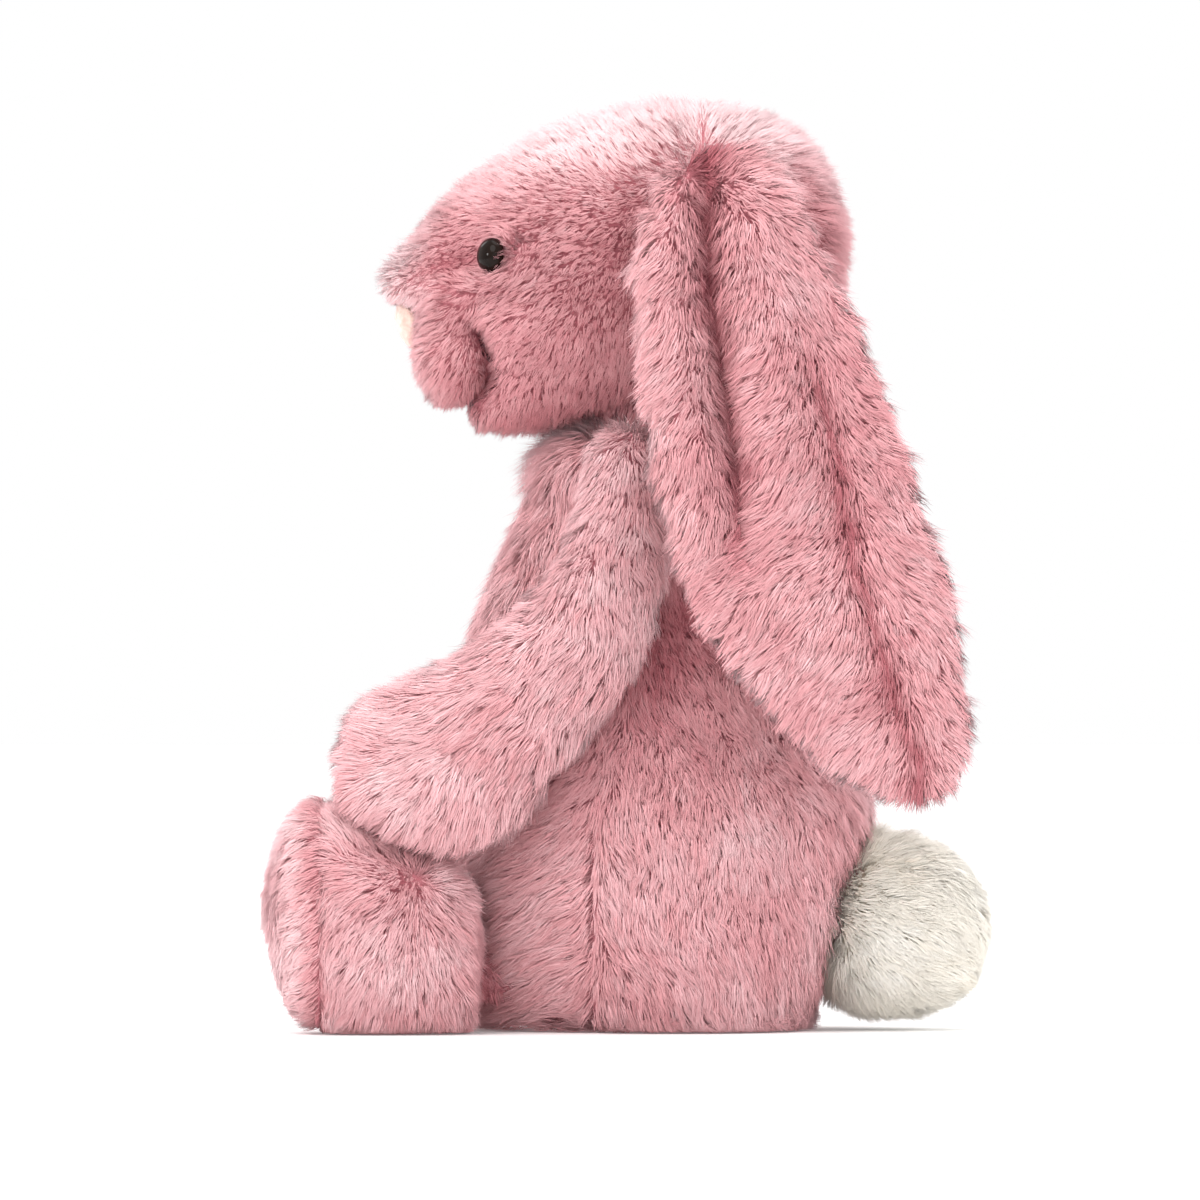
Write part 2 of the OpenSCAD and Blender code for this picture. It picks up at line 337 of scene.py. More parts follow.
def remeshed(me, voxel, relax=4):
    o = new_object("tmp_remesh", me)
    r = o.modifiers.new("r", "REMESH")
    r.mode, r.voxel_size, r.adaptivity = "VOXEL", voxel, 0.0
    if relax:
        s = o.modifiers.new("s", "SMOOTH")
        s.factor, s.iterations = 0.5, relax
    return applied(o)


def inset(me, mm, mask=None, only=(1, 1, 1)):
    """Draw the skin in under its pile, so that the pile's surface ends where the CAD cover is"""
    V, T = mesh_arrays(me)
    N = vertex_normals(V, T) * np.array(only, float)
    k = np.ones(len(V)) if mask is None else mask(V / MM)
    set_coords(me, V - N * (k * mm * MM)[:, None])
    return me


def inflated(me, pressure, cap, frames=20, stiff=15.0, shrink=0.0):
    """Cloth simulation: fill the shell with air and let the cloth stretch, then hold it to the cap"""
    V0, T = mesh_arrays(me)
    if shrink:
        set_coords(me, V0 - vertex_normals(V0, T) * shrink)
    o = new_object("tmp_cloth", me)
    c = o.modifiers.new("cloth", "CLOTH")
    st = c.settings
    st.quality = 5
    st.mass = 0.15
    st.tension_stiffness = st.compression_stiffness = st.shear_stiffness = stiff
    st.bending_stiffness = 0.5
    st.use_pressure = True
    st.uniform_pressure_force = pressure
    st.effector_weights.gravity = 0.0
    c.collision_settings.use_collision = False
    c.point_cache.frame_start, c.point_cache.frame_end = 1, frames
    for f in range(1, frames + 1):
        scene.frame_set(f)
    dg = bpy.context.evaluated_depsgraph_get()
    ev = o.evaluated_get(dg)
    V1 = np.empty(len(ev.data.vertices) * 3)
    ev.data.vertices.foreach_get("co", V1)
    V1 = V1.reshape(-1, 3).copy()
    if not np.isfinite(V1).all():
        V1 = V0
    d = V1 - V0
    n = np.linalg.norm(d, axis=1, keepdims=True)
    V1 = V0 + d * np.minimum(1, cap / np.maximum(n, 1e-9))
    o.modifiers.remove(c)
    keep = o.data.copy()
    bpy.data.objects.remove(o)
    set_coords(keep, V1)
    scene.frame_set(1)
    return keep


def refined(me, levels=1):
    o = new_object("tmp_sub", me)
    s = o.modifiers.new("s", "SUBSURF")
    s.levels = s.render_levels = levels
    return applied(o)


def mirrored(me, name):
    new = me.copy()
    new.name = name
    bm = bmesh.new()
    bm.from_mesh(new)
    for v in bm.verts:
        v.co.x = -v.co.x
    bmesh.ops.reverse_faces(bm, faces=bm.faces)
    bm.to_mesh(new)
    bm.free()
    return new


def bumps(me, spots, floor=None):
    """Push the skin along its normals: spots are (x, y, z, radius, height) in mm, mirrored where x > 0"""
    V, T = mesh_arrays(me)
    N = vertex_normals(V, T)
    P = V / MM
    d = np.zeros(len(V))
    for x, y, z, r, h in spots:
        for s in ((1, -1) if abs(x) > 0.01 else (1,)):
            q = ((P - np.array([s * x, y, z])) ** 2).sum(1) / (r * r)
            d += h * np.exp(-q)
    V = V + N * d[:, None] * MM
    if floor is not None:
        V[:, 2] = np.maximum(V[:, 2], floor * MM)
    set_coords(me, V)
    return me


def line_dist(P, pts):
    """Distance in mm from each point to a polyline"""
    pts = np.array(pts, float)
    best = np.full(len(P), 1e9)
    for a, b in zip(pts[:-1], pts[1:]):
        ab = b - a
        t = np.clip(((P - a) @ ab) / (ab @ ab), 0, 1)
        best = np.minimum(best, np.linalg.norm(P - a - t[:, None] * ab, axis=1))
    return best


def flat_dist(P, pts):
    """As line_dist, but seen from the side: x is left out"""
    return line_dist(P * np.array([0, 1, 1]), [(0, b, c) for _, b, c in pts])


def side_crease(me, lines, beyond=0.0):
    """Sewn valleys drawn on the side view and pressed into both sides"""
    V, T = mesh_arrays(me)
    N = vertex_normals(V, T)
    P = V / MM
    d = np.zeros(len(V))
    for pts, r, h in lines:
        q = flat_dist(P, pts)
        d = np.minimum(d, -h * np.exp(-(q / r) ** 2) * (np.abs(P[:, 0]) >= beyond))
    set_coords(me, V + N * d[:, None] * MM)
    return me


def crease(me, lines):
    """Sewn valleys: lines are (points, radius, depth) in mm, each mirrored across the middle plane"""
    V, T = mesh_arrays(me)
    N = vertex_normals(V, T)
    P = V / MM
    d = np.zeros(len(V))
    for pts, r, h, *one in lines:
        for s in ((1,) if one else (1, -1)):
            q = line_dist(P, [(s * a, b, c) for a, b, c in pts])
            d = np.minimum(d, -h * np.exp(-(q / r) ** 2))
    set_coords(me, V + N * d[:, None] * MM)
    return me


# ------------------------------------------------------------------ fur
FUR_TRIS = [0]


def plant(me, per_mm2, seed):
    """Roots spread evenly over the skin: positions and normals in mm"""
    V, T = mesh_arrays(me)
    N = vertex_normals(V, T)
    P = V / MM
    a = np.linalg.norm(np.cross(P[T[:, 1]] - P[T[:, 0]], P[T[:, 2]] - P[T[:, 0]]), axis=1) / 2
    n = int(a.sum() * per_mm2 * DENSITY)
    g = rng(seed)
    cum = np.cumsum(a)
    at = (np.arange(n) + g.random(n)) / n * cum[-1]
    tri = np.searchsorted(cum, at).clip(0, len(T) - 1)
    u, v = g.random(n), g.random(n)
    flip = u + v > 1
    u[flip], v[flip] = 1 - u[flip], 1 - v[flip]
    w = np.stack([1 - u - v, u, v], 1)
    root = (P[T[tri]] * w[:, :, None]).sum(1)
    nor = unit((N[T[tri]] * w[:, :, None]).sum(1))
    return root, nor


MAX_STRANDS = 33000
FINE = 1.85          # strands per nominal strand, each that much finer


def grow(name, body, me, flow, materials, per_mm2, length, width, seed,
         lift=(0.9, 0.42), clump=2.2, clump_pull=0.26, tone=None, wild=0.15, swirl=0.28,
         floor=None, keep=None, long_scale=None, contrast=(0.10, 0.03)):
    """Grow combed pile on a skin as real strands, each a closed bent spindle with a darker root, which is painted
    shade
    """
    g = rng(seed)
    P, N = plant(me, per_mm2 * FINE, seed)
    if keep is not None:
        ok = keep(P, N)
        P, N = P[ok], N[ok]
    F = flow(P, N)
    F = F - (F * N).sum(1, keepdims=True) * N
    weak = np.linalg.norm(F, axis=1) < 0.05
    F[weak] += g.normal(size=(weak.sum(), 3)) * 0.1
    F = F - (F * N).sum(1, keepdims=True) * N
    F = unit(F)
    lock = cells(P, clump, seed * 7 + 1)
    big = cells(P, clump * 2.6, seed * 7 + 2)
    nl, nb = lock.max() + 1, big.max() + 1
    # comb direction wanders slowly, then by lock, then by strand
    turn = (waves(P, 34, seed + 1) * swirl * 0.6 + waves(P, 13, seed + 2) * swirl * 0.5
            + g.normal(0, 0.12, nb)[big] + g.normal(0, 0.15, nl)[lock] + g.normal(0, wild, len(P)))
    B = np.cross(N, F)
    F = F * np.cos(turn)[:, None] + B * np.sin(turn)[:, None]
    L = length * (1 + 0.10 * waves(P, 20, seed + 3) + g.normal(0, 0.10, nl)[lock]
                  + g.normal(0, 0.13, len(P))).clip(0.55, 1.5)
    if long_scale is not None:
        L = L * long_scale(P, N)
    e0 = (lift[0] + g.normal(0, 0.13, nl)[lock] + g.normal(0, 0.16, len(P))).clip(0.2, 1.45)
    e1 = (lift[1] + g.normal(0, 0.12, nl)[lock] + g.normal(0, 0.15, len(P)) + 0.10 * waves(P, 17, seed + 4)).clip(0.02, 1.3)
    D0 = F * np.cos(e0)[:, None] + N * np.sin(e0)[:, None]
    D1 = F * np.cos(e1)[:, None] + N * np.sin(e1)[:, None]
    root = P - N * 0.35
    mid = P + D0 * (L * 0.46)[:, None]
    tip = mid + D1 * (L * 0.56)[:, None]
    # locks: tips draw together
    ct = mean_by(lock, tip)[lock]
    cm = mean_by(lock, mid)[lock]
    pull = clump_pull * g.uniform(0.5, 1.2, len(P))[:, None]
    cb = mean_by(big, tip)[big]
    tip = tip + (ct - tip) * pull + (cb - tip) * 0.10
    mid = mid + (cm - mid) * pull * 0.35
    if floor is not None:
        lowest = floor + 0.25 + 0.6 * g.random(len(P))
        mid[:, 2] = np.maximum(mid[:, 2], lowest)
        tip[:, 2] = np.maximum(tip[:, 2], lowest * 0.8)
        root[:, 2] = np.maximum(root[:, 2], floor + 0.1)
    # cross-sections
    n = len(P)
    w = width / math.sqrt(FINE) * (1 + g.normal(0, 0.18, n)).clip(0.6, 1.5)
    if DENSITY < 1:
        w = w / math.sqrt(DENSITY)
    d01 = unit(mid - root)
    d12 = unit(tip - mid)

    roll = g.normal(0, 0.16, n)[:, None]

    def ring(c, d, r):
        a = unit(np.cross(d, N) + 1e-6)
        b = np.cross(a, d)
        a, b = a * np.cos(roll) + b * np.sin(roll), b * np.cos(roll) - a * np.sin(roll)
        return [c + a * r[:, None], c - a * r[:, None], c + b * (r * 0.5)[:, None]]
    r1 = ring(mid, unit(d01 + d12), w * 0.60)
    verts = np.stack([root] + r1 + [tip], 1) * MM          # n, 5, 3
    # shade: low patches, lock to lock and strand to strand
    S = len(materials)
    t = (0.56 + 0.06 * waves(P, 26, seed + 5) + 0.05 * waves(P, 9, seed + 6)
         + g.normal(0, 0.035, nl)[lock] + g.normal(0, 0.05, n))
    if tone is not None:
        t = t + tone(P, N)
    # tip faces take a lighter shade, root faces a darker one: painted shade at the root
    tip_m = np.clip(np.round((t + contrast[0]) * (S - 1)), 0, S - 1).astype(np.int32)
    root_m = np.clip(np.round((t - contrast[1]) * (S - 1)), 0, S - 1).astype(np.int32)
    objs = []
    split = max(1, math.ceil(n / MAX_STRANDS))
    order = np.argsort(P[:, 2] + 0.001 * P[:, 1]) if split > 1 else np.arange(n)
    print("PILE", name, n, split)
    for part, pick in enumerate(np.array_split(order, split)):
        m = len(pick)
        v = verts[pick].reshape(-1, 3)
        tris = (np.arange(m) * 5)[:, None, None] + np.array([[0, 2, 1], [0, 3, 2], [0, 1, 3], [1, 2, 4], [2, 3, 4], [3, 1, 4]])[None]
        loops = tris.ravel().astype(np.int32)
        starts = np.arange(0, m * 18, 3, dtype=np.int32)
        mats = np.stack([root_m[pick]] * 3 + [tip_m[pick]] * 3, 1).ravel().astype(np.int32)
        fm = bpy.data.meshes.new(f"{name}_{part}" if split > 1 else name)
        fm.vertices.add(len(v))
        fm.vertices.foreach_set("co", v.ravel())
        fm.loops.add(len(loops))
        fm.loops.foreach_set("vertex_index", loops)
        fm.polygons.add(m * 6)
        fm.polygons.foreach_set("loop_start", starts)
        for mat in materials:
            fm.materials.append(mat)
        fm.polygons.foreach_set("material_index", mats)
        fm.polygons.foreach_set("use_smooth", np.ones(m * 6, bool))
        fm.update(calc_edges=True)
        # soft shading: a strand's normals lean to the skin's
        own = np.stack([N] + [unit(x - mid) for x in r1] + [unit(N + d12 * 0.3)], 1)[pick]
        soft = unit(own * 0.15 + N[pick][:, None, :])
        cn = fm.attributes.new("custom_normal", "FLOAT_VECTOR", "POINT")
        cn.data.foreach_set("vector", soft.reshape(-1).astype(np.float32))
        o = new_object(fm.name, fm)
        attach(o, body)
        FUR_TRIS[0] += m * 6
        objs.append(o)
    return objs


def skin(name, body, me, material, node):
    me.name = name
    me.materials.clear()
    me.materials.append(material)
    me.polygons.foreach_set("use_smooth", np.ones(len(me.polygons), bool))
    me.update()
    o = new_object(name, me)
    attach(o, body)
    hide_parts(node)
    return o


def toward(c):
    c = np.array(c, float)
    return lambda P, N: c - P


def const(v, P):
    return np.tile(np.array(v, float), (len(P), 1))


# ------------------------------------------------------------------ torso
def torso_inset(P):
    chest = smooth01(P[:, 2], 92, 112) * smooth01(P[:, 1], 0, -14)
    return (0.15 + 0.85 * smooth01(P[:, 2], 1, 9)) * (1 + 0.25 * chest) * (1 - smooth01(P[:, 2], 132, 142)) * (1 - 0.45 * smooth01(P[:, 1], 38, 50))


torso_me = inset(remeshed(outer_shell("torso_cover"), 0.004), 3.2, torso_inset)
torso_me = refined(inflated(torso_me, 4.0, 0.002), 1)
bumps(torso_me, [(0, -12, 146, 11, 1.4), (14, -8, 145, 10, 2.6), (28, -36, 16, 13, 3.0), (0, -38, 40, 26, 1.5), (0, 44, 52, 24, 2.0), (0, 52, 2, 16, -2.5)], floor=0.0)
V, T = mesh_arrays(torso_me)
Q = V / MM
V[:, 1] -= 9.5 * smooth01(Q[:, 2], 58, 34) * smooth01(Q[:, 1], -8, -25) * smooth01(np.abs(Q[:, 0]), 46, 34) * MM
V[:, 1] -= 6.0 * smooth01(Q[:, 2], 16, 3) * smooth01(Q[:, 1], -4, -20) * MM
set_coords(torso_me, V)
SIDE = [(44, -9, 4), (45, -9, 22), (45, -8, 40), (42, -6, 60), (36, -4, 85), (28, -2, 112)]
crease(torso_me, [(SIDE + [(20, 0, 138)], 2.6, 0.8)])


def torso_flow(P, N):
    front = smooth01(P[:, 1], -4, -14) * smooth01(P[:, 2], 84, 60)
    down = const((0, 0.18, -1), P)
    fwd = const((0, -0.85, -0.5), P)
    F = down * (1 - front)[:, None] + fwd * front[:, None]
    # pile leans away from the side seam
    F[:, 1] += np.where(P[:, 1] < -8.5, -0.5, 0.4) * np.exp(-(np.abs(P[:, 1] + 8.5) / 7) ** 2) * smooth01(P[:, 2], 70, 40)
    # a whorl low on the side seam
    d = P - np.stack([np.sign(P[:, 0]) * 44, np.full(len(P), -7.0), np.full(len(P), 15.0)], 1)
    w = (np.exp(-(np.linalg.norm(d, axis=1) / 12) ** 2))[:, None]
    F = F * (1 - w) + unit(d) * w
    top = (smooth01(N[:, 2], 0.35, 0.8) * smooth01(P[:, 2], 112, 128))[:, None]
    F = F * (1 - top) + unit((P - np.array([0, 4, 0])) * np.array([1, 1, 0])) * top
    low = smooth01(P[:, 2], 8, 1)[:, None]
    out = P - np.array([0, 8, 4])
    out[:, 2] = -6
    return F * (1 - low) + unit(out) * low


# painted shade: fur darker along sewn crease lines, where shade falls in the valley
def crease_painted_shade(lines, r, h):
    def f(P, N):
        q = np.minimum(line_dist(P, lines), line_dist(P * np.array([-1, 1, 1]), lines))
        return -h * np.exp(-(q / r) ** 2)
    return f


# painted shade in the side seam's crease
seam = crease_painted_shade(SIDE, 2.6, 0.09)


def torso_painted_shade(P, N):
    # painted shadow on the torso's side under the arm and ear
    shade = np.exp(-(((P[:, 1] - 4) / 22) ** 2 + ((P[:, 2] - 98) / 26) ** 2)) * smooth01(np.abs(P[:, 0]), 12, 24)
    return seam(P, N) - 0.40 * shade - 0.02


skin("torso_plush", "torso", torso_me, rose_skin, "torso_cover")
grow("torso_fur", "torso", torso_me, torso_flow, rose_fibres, 2.7, 7.2, 0.30, 11,
     floor=0.0, tone=torso_painted_shade, keep=lambda P, N: (N[:, 2] > -0.93) & ~((P[:, 1] > 40) & (np.hypot(P[:, 0], P[:, 2] - 28) < 17.5)),
     long_scale=lambda P, N: 1 + 0.35 * smooth01(P[:, 2], 128, 144))

# ------------------------------------------------------------------ head
def head_inset(P):
    under = smooth01(P[:, 2], 168, 156) * smooth01(P[:, 1], -40, -25)
    return 1 - 0.75 * under


head_me = inset(remeshed(outer_shell("head_cover"), 0.0028, 8), 3.0, head_inset)
head_me = refined(inflated(head_me, 3.0, 0.0012), 1)
# the face below the brow is drawn back behind the nose
V, T = mesh_arrays(head_me)
Q = V / MM
back = smooth01(Q[:, 1], -40, -56) * smooth01(Q[:, 2], 187, 181) * smooth01(Q[:, 2], 156, 166)
V[:, 1] += back * 3.4 * MM
set_coords(head_me, V)
EYE = np.array([29.6, -33.4, 194.5])
MOUTH = [(29.8, -37.6, 175), (30.2, -35.4, 169), (29.2, -34.8, 163), (24, -38, 158.6), (14, -41.6, 156.2), (0, -43.4, 155.2)]
VALLEY = [(29, -37, 193.5), (26, -43, 192), (22, -48.5, 190.5), (17, -53, 189)]
side_crease(head_me, [(VALLEY, 7.5, 2.6)], 4.0)
bumps(head_me, [
    (27.0, -42.5, 194.6, 7.2, -5.4), (24, -43, 204.5, 7, 3.0), (17, -51, 199, 7, 2.0), (25, -45, 181.5, 6.5, 2.8),
    (33.5, -28.0, 194, 5.5, 3.2), (19.5, -46.5, 168.5, 7.5, 5.0), (9, -51, 165.5, 8, 3.2),
    (0, -58.5, 185.5, 5.5, 3.0), (8, -56, 187.5, 6, 1.6), (0, -56, 198, 8, -1.8), (10, -41, 156, 8, 3.6), (12, -36, 151, 9, 2.6), (26, -29, 158, 7, 2.4), (37, -14, 178, 15, 2.4),
    (34, -27, 178, 7, 2.0)])
side_crease(head_me, [(MOUTH, 2.8, 5.6)])
crease(head_me, [([(0, -57, 170), (0, -55, 165), (0, -51, 160), (0, -46, 156.5)], 2.2, 2.8, 1)])
CROWN = np.array([0, 22, 226])
NOSE = np.array([0, -54.8, 176.8])


def eye_away(P, N):
    return np.minimum(np.linalg.norm(P - EYE, axis=1), np.linalg.norm(P - EYE * np.array([-1, 1, 1]), axis=1))


def head_flow(P, N):
    F = unit((P - CROWN) * np.array([0.10, 1, 1])) + const((0, -0.1, -0.45), P)
    top = smooth01(N[:, 2], 0.45, 0.85)[:, None]
    fore = np.where(P[:, 1] < 18, -1.0, 1.0)
    F = F * (1 - top) + np.stack([P[:, 0] * -0.006, fore, np.full(len(P), -0.1)], 1) * top
    for k in (1, -1):
        d = P - EYE * np.array([k, 1, 1])
        w = np.exp(-(np.linalg.norm(d, axis=1) / 9.0) ** 2)[:, None]
        F = F * (1 - w) + unit(d) * w * 1.2
    # whisker pads fan out from the nose
    d = P - NOSE
    w = (np.exp(-(np.linalg.norm(d - np.array([0, 8, -6]), axis=1) / 15.0) ** 2) * 0.75)[:, None]
    F = F * (1 - w) + unit(d) * w
    q = flat_dist(P, MOUTH)
    side = np.where(P[:, 1] < np.interp(P[:, 2], [155, 158.6, 163, 169, 175], [-43, -38, -34.8, -35.4, -37.6]), -1.0, 1.0)
    F[:, 1] += side * 0.9 * np.exp(-(q / 4.0) ** 2)
    # the brow is brushed forward over the nose
    w = (np.exp(-(np.linalg.norm(P - np.array([0, -58, 190]), axis=1) / 13.0) ** 2))[:, None]
    return F * (1 - w) + const((0, -0.40, -0.92), P) * w


def head_len(P, N):
    q = flat_dist(P, VALLEY)
    k = 1 - 0.45 * np.exp(-(q / 5.0) ** 2) * smooth01(np.abs(P[:, 0]), 4, 10)
    q = (P - NOSE) / np.array([10.5, 11, 8.8])
    k *= 1 - 0.80 * np.exp(-((q ** 2).sum(1)) ** 1.5)
    k *= 1 + 0.22 * smooth01(P[:, 1], -10, 30)
    q = flat_dist(P, MOUTH)
    k *= 1 - 0.55 * np.exp(-(q / 2.6) ** 2)
    # longer brow over the nose
    return k * (1 + 0.25 * np.exp(-(np.linalg.norm(P - np.array([0, -58, 190]), axis=1) / 8.0) ** 2))


def head_keep(P, N):
    q = (P - NOSE) / np.array([8.4, 6.0, 6.9])
    return ((flat_dist(P, MOUTH[:3]) > 0.8) & (np.minimum(np.linalg.norm(P - np.array([27.6, -34.2, 193.3]), axis=1), np.linalg.norm(P - np.array([-27.6, -34.2, 193.3]), axis=1)) > 4.1) & ((q ** 2).sum(1) > 1)
            # the cup over the neck ball stays bare
            & (np.linalg.norm(P - np.array([0, 4, 152]), axis=1) > 18.0))


def head_painted_light_and_shade(P, N):
    # painted shade in the mouth crease
    t = -0.14 - 0.45 * np.exp(-(flat_dist(P, MOUTH) / 2.4) ** 2)
    # painted shade in the valley in front of the eye
    t += -0.20 * np.exp(-(flat_dist(P, VALLEY) / 3.6) ** 2) * smooth01(np.abs(P[:, 0]), 4, 10)
    # painted light on the top of the head; painted shade on the lower face under the brow
    t += 0.46 * smooth01(P[:, 2], 196, 228) - 0.10 * smooth01(P[:, 2], 190, 165) * smooth01(P[:, 1], -50, -30)
    # shade where the ear's rear edge lies on the head
    back = [(0, 40, 216), (0, 46, 200), (0, 50, 188), (0, 54, 176)]
    q = line_dist(P * np.array([0, 1, 1]), back)
    t += -0.18 * np.exp(-(q / 3.0) ** 2) * smooth01(np.abs(P[:, 0]), 12, 22)
    # painted light on the brow, on the muzzle front and on fur that faces up
    brow = np.exp(-(np.linalg.norm(P - np.array([0, -58, 191]), axis=1) / 14.0) ** 2)
    return t + 0.24 * smooth01(P[:, 1], -42, -54) + 0.06 * smooth01(N[:, 2], 0.3, 0.9) + 0.20 * brow


skin("head_plush", "head", head_me, rose_skin, "head_cover")
grow("head_fur", "head", head_me, head_flow, rose_fibres, 2.9, 5.0, 0.28, 23,
     lift=(1.25, 0.98), clump=1.8, clump_pull=0.6, wild=0.32, swirl=0.36, long_scale=head_len, keep=head_keep, tone=head_painted_light_and_shade,
     contrast=(0.12, 0.16))


def revolve(name, profile, origin, axis, n=40, squash_z=1.0):
    """Closed lathe of (radius, height) points in mm about an axis"""
    w = np.array(axis, float)
    w = w / np.linalg.norm(w)
    u = np.cross([0, 0, 1.0], w)
    u = u / np.linalg.norm(u)
    v = np.cross(w, u)
    verts, faces = [], []
    for r, h in profile:
        for i in range(n):
            a = 2 * math.pi * i / n
            verts.append((np.array(origin) + u * (r * math.cos(a)) + v * (r * squash_z * math.sin(a)) + w * h) * MM)
    m = len(profile)
    for k in range(m - 1):
        for i in range(n):
            j = (i + 1) % n
            faces.append((k * n + i, k * n + j, (k + 1) * n + j, (k + 1) * n + i))
    verts.append((np.array(origin) + w * profile[0][1]) * MM)
    verts.append((np.array(origin) + w * profile[-1][1]) * MM)
    for i in range(n):
        j = (i + 1) % n
        faces.append((j, i, m * n))
        faces.append(((m - 1) * n + i, (m - 1) * n + j, m * n + 1))
    me = bpy.data.meshes.new(name)
    me.from_pydata([tuple(v) for v in verts], [], faces)
    bm = bmesh.new()
    bm.from_mesh(me)
    bmesh.ops.recalc_face_normals(bm, faces=bm.faces)
    bm.to_mesh(me)
    bm.free()
    return me


def finish_piece(name, body, me, material, slot, *nodes):
    me.name = name
    me.materials.clear()
    me.materials.append(material)
    me.polygons.foreach_set("use_smooth", np.ones(len(me.polygons), bool))
    me.update()
    o = new_object(name, me)
    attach(o, body)
    if nodes:
        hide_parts(*nodes)
    return o


# moulded eyes: glossy dome, thin flange, shank through the cloth
eye_mat, nt, p = base_material("eye_gloss", (0.010, 0.007, 0.006), 0.06)
p.inputs["Specular IOR Level"].default_value = 0.11
n1 = noise(nt, 260.0, 3.0)
c1 = ramp(nt, n1.outputs["Fac"], [(0.35, (0.006, 0.003, 0.002)), (0.75, (0.014, 0.007, 0.005))])
nt.links.new(c1.outputs["Color"], p.inputs["Base Color"])
EYE_PROFILE = [(1.5, -8.0), (1.5, -1.0), (3.9, -0.7), (4.45, -0.35), (4.5, 0.0), (4.38, 0.7), (4.0, 1.5),
               (3.35, 2.2), (2.5, 2.7), (1.5, 3.0), (0.5, 3.12)]
for side, k in (("left", 1), ("right", -1)):
    finish_piece(f"{side}_eye_dome", "head",
                 revolve(f"{side}_eye_dome", EYE_PROFILE, (26.6 * k, -34.4, 193.3), (0.60 * k, -0.79, 0.12)),
                 eye_mat, "eye_plastic", f"{side}_eye")

# nose pad: velour oval, padded, with a drawn-in centre stitch line under it
nose_mat, nt, p = base_material("nose_pile", lin(224, 188, 176), 0.92)
p.inputs["Sheen Weight"].default_value = 0.5
n1 = noise(nt, 700.0, 5.0)
c1 = ramp(nt, n1.outputs["Fac"], [(0.3, lin(208, 170, 157)), (0.7, lin(232, 202, 190))])
nt.links.new(c1.outputs["Color"], p.inputs["Base Color"])
b1 = nt.nodes.new("ShaderNodeBump")
b1.inputs["Strength"].default_value = 0.6
b1.inputs["Distance"].default_value = 0.0005
nt.links.new(noise(nt, 1500.0, 3.0).outputs["Fac"], b1.inputs["Height"])
nt.links.new(b1.outputs["Normal"], p.inputs["Normal"])
lo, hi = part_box("nose_pad")
nose_c = np.array([(lo.x + hi.x) / 2, (lo.y + hi.y) / 2 + 0.0046, (lo.z + hi.z) / 2 + 0.0008]) / MM
NOSE_PROFILE = [(7.0, -1.6), (7.9, -1.0), (8.2, 0.0), (7.9, 1.1), (7.2, 2.1), (6.0, 2.9), (4.4, 3.5), (2.4, 3.85), (0.8, 3.95)]
nose_me = refined(revolve("nose_pad_velour", NOSE_PROFILE, nose_c, (0, -math.cos(math.radians(20)), -math.sin(math.radians(20))), 48, 0.84), 1)
V, T = mesh_arrays(nose_me)
N0 = vertex_normals(V, T)
Q = V / MM
V = V - N0 * (0.5 * np.exp(-(Q[:, 0] / 1.0) ** 2) * smooth01(Q[:, 2], nose_c[2], nose_c[2] - 3))[:, None] * MM
V = V + N0 * (0.10 * waves(Q, 1.6, 5) + 0.10 * waves(Q, 3.2, 6))[:, None] * MM
set_coords(nose_me, V)
finish_piece("nose_pad_velour", "head", nose_me, nose_mat, "nose_velour", "nose_pad")


def tube(name, pts, r, sides=8, twist=None):
    """Closed tube along points in mm; with twist, a two-ply thread"""
    pts = np.array(pts, float)
    tan = np.gradient(pts, axis=0)
    tan = unit(tan)
    ref = np.tile([0.0, 1.0, 0.0], (len(pts), 1))
    u = unit(np.cross(ref, tan))
    v = np.cross(tan, u)
    s_len = np.concatenate([[0], np.cumsum(np.linalg.norm(np.diff(pts, axis=0), axis=1))])
    verts, faces = [], []
    for k in range(len(pts)):
        for i in range(sides):
            a = 2 * math.pi * i / sides
            rr = r
            if twist:
                rr = r * (0.80 + 0.20 * abs(math.cos(a - 2 * math.pi * s_len[k] / twist)))
            verts.append(tuple((pts[k] + u[k] * rr * math.cos(a) + v[k] * rr * math.sin(a)) * MM))
    for k in range(len(pts) - 1):
        for i in range(sides):
            j = (i + 1) % sides
            faces.append((k * sides + i, k * sides + j, (k + 1) * sides + j, (k + 1) * sides + i))
    faces.append(tuple(range(sides))[::-1])
    faces.append(tuple((len(pts) - 1) * sides + i for i in range(sides)))
    me = bpy.data.meshes.new(name)
    me.from_pydata(verts, [], faces)
    bm = bmesh.new()
    bm.from_mesh(me)
    bmesh.ops.recalc_face_normals(bm, faces=bm.faces)
    bm.to_mesh(me)
    bm.free()
    return me


def smooth_path(pts, step):
    p = np.array(pts, float)
    out = []
    for i in range(len(p) - 1):
        p0, p1, p2, p3 = p[max(i - 1, 0)], p[i], p[i + 1], p[min(i + 2, len(p) - 1)]
        m = max(2, int(np.linalg.norm(p2 - p1) / step))
        for q in np.arange(m) / m:
            out.append(0.5 * ((2 * p1) + (-p0 + p2) * q + (2 * p0 - 5 * p1 + 4 * p2 - p3) * q * q
                              + (-p0 + 3 * p1 - 3 * p2 + p3) * q ** 3))
    out.append(p[-1])
    return np.array(out)


thread_mat = cloth_material("sewing_thread_twist", lin(58, 22, 30), lin(92, 42, 50), 3000.0, weave=False, bump=0.6)
half = [np.array(q) for q in MOUTH]
path = smooth_path(half + [q * np.array([-1, 1, 1]) for q in half[-2::-1]], 0.5)
